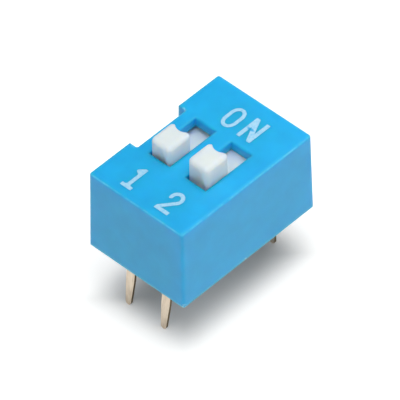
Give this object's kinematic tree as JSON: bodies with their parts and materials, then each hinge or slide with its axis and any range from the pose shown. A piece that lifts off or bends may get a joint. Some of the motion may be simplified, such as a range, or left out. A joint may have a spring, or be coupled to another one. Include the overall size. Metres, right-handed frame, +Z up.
{
  "type": "dip switch",
  "caption": "Through-hole slide DIP switch: a rectangular moulded body on flat splayed solder pins, with scooped slide actuators in slots that bridge the terminals of each position.",
  "frame": {"origin": "centre of the body's underside, on the plane that seats on the board", "axes": "+X along the row of positions, from position 1 to position 2; +Y towards ON, along the slide travel; +Z up, away from the board"},
  "size_m": [0.0068, 0.0098, 0.0102],
  "materials": {
    "blue_body": "moulded polyester, semi-matt",
    "white_actuator": "moulded polyester, satin",
    "dark_base": "moulded glass-filled polyester",
    "resin": "poured epoxy resin, glossy",
    "plated_terminal": "thin gold over brass strip, slightly dull",
    "spring_bronze": "plated spring bronze"
  },
  "bodies": {
    "housing": {"cover": "blue_body", "base": "dark_base", "bottom_seal": "resin", "terminal_1_number_side": "plated_terminal", "terminal_1_on_side": "plated_terminal", "terminal_2_number_side": "plated_terminal", "terminal_2_on_side": "plated_terminal"},
    "slider_1": {"slider_1": "white_actuator", "contact_1": "spring_bronze"},
    "slider_2": {"slider_2": "white_actuator", "contact_2": "spring_bronze"}
  },
  "joints": [
    {"name": "slide_1", "type": "slide", "parent": "housing", "child": "slider_1", "axis": [0, 1, 0], "range_m": [0, 0.00169]},
    {"name": "slide_2", "type": "slide", "parent": "housing", "child": "slider_2", "axis": [0, 1, 0], "range_m": [-0.0001, 0.00159]}
  ]
}
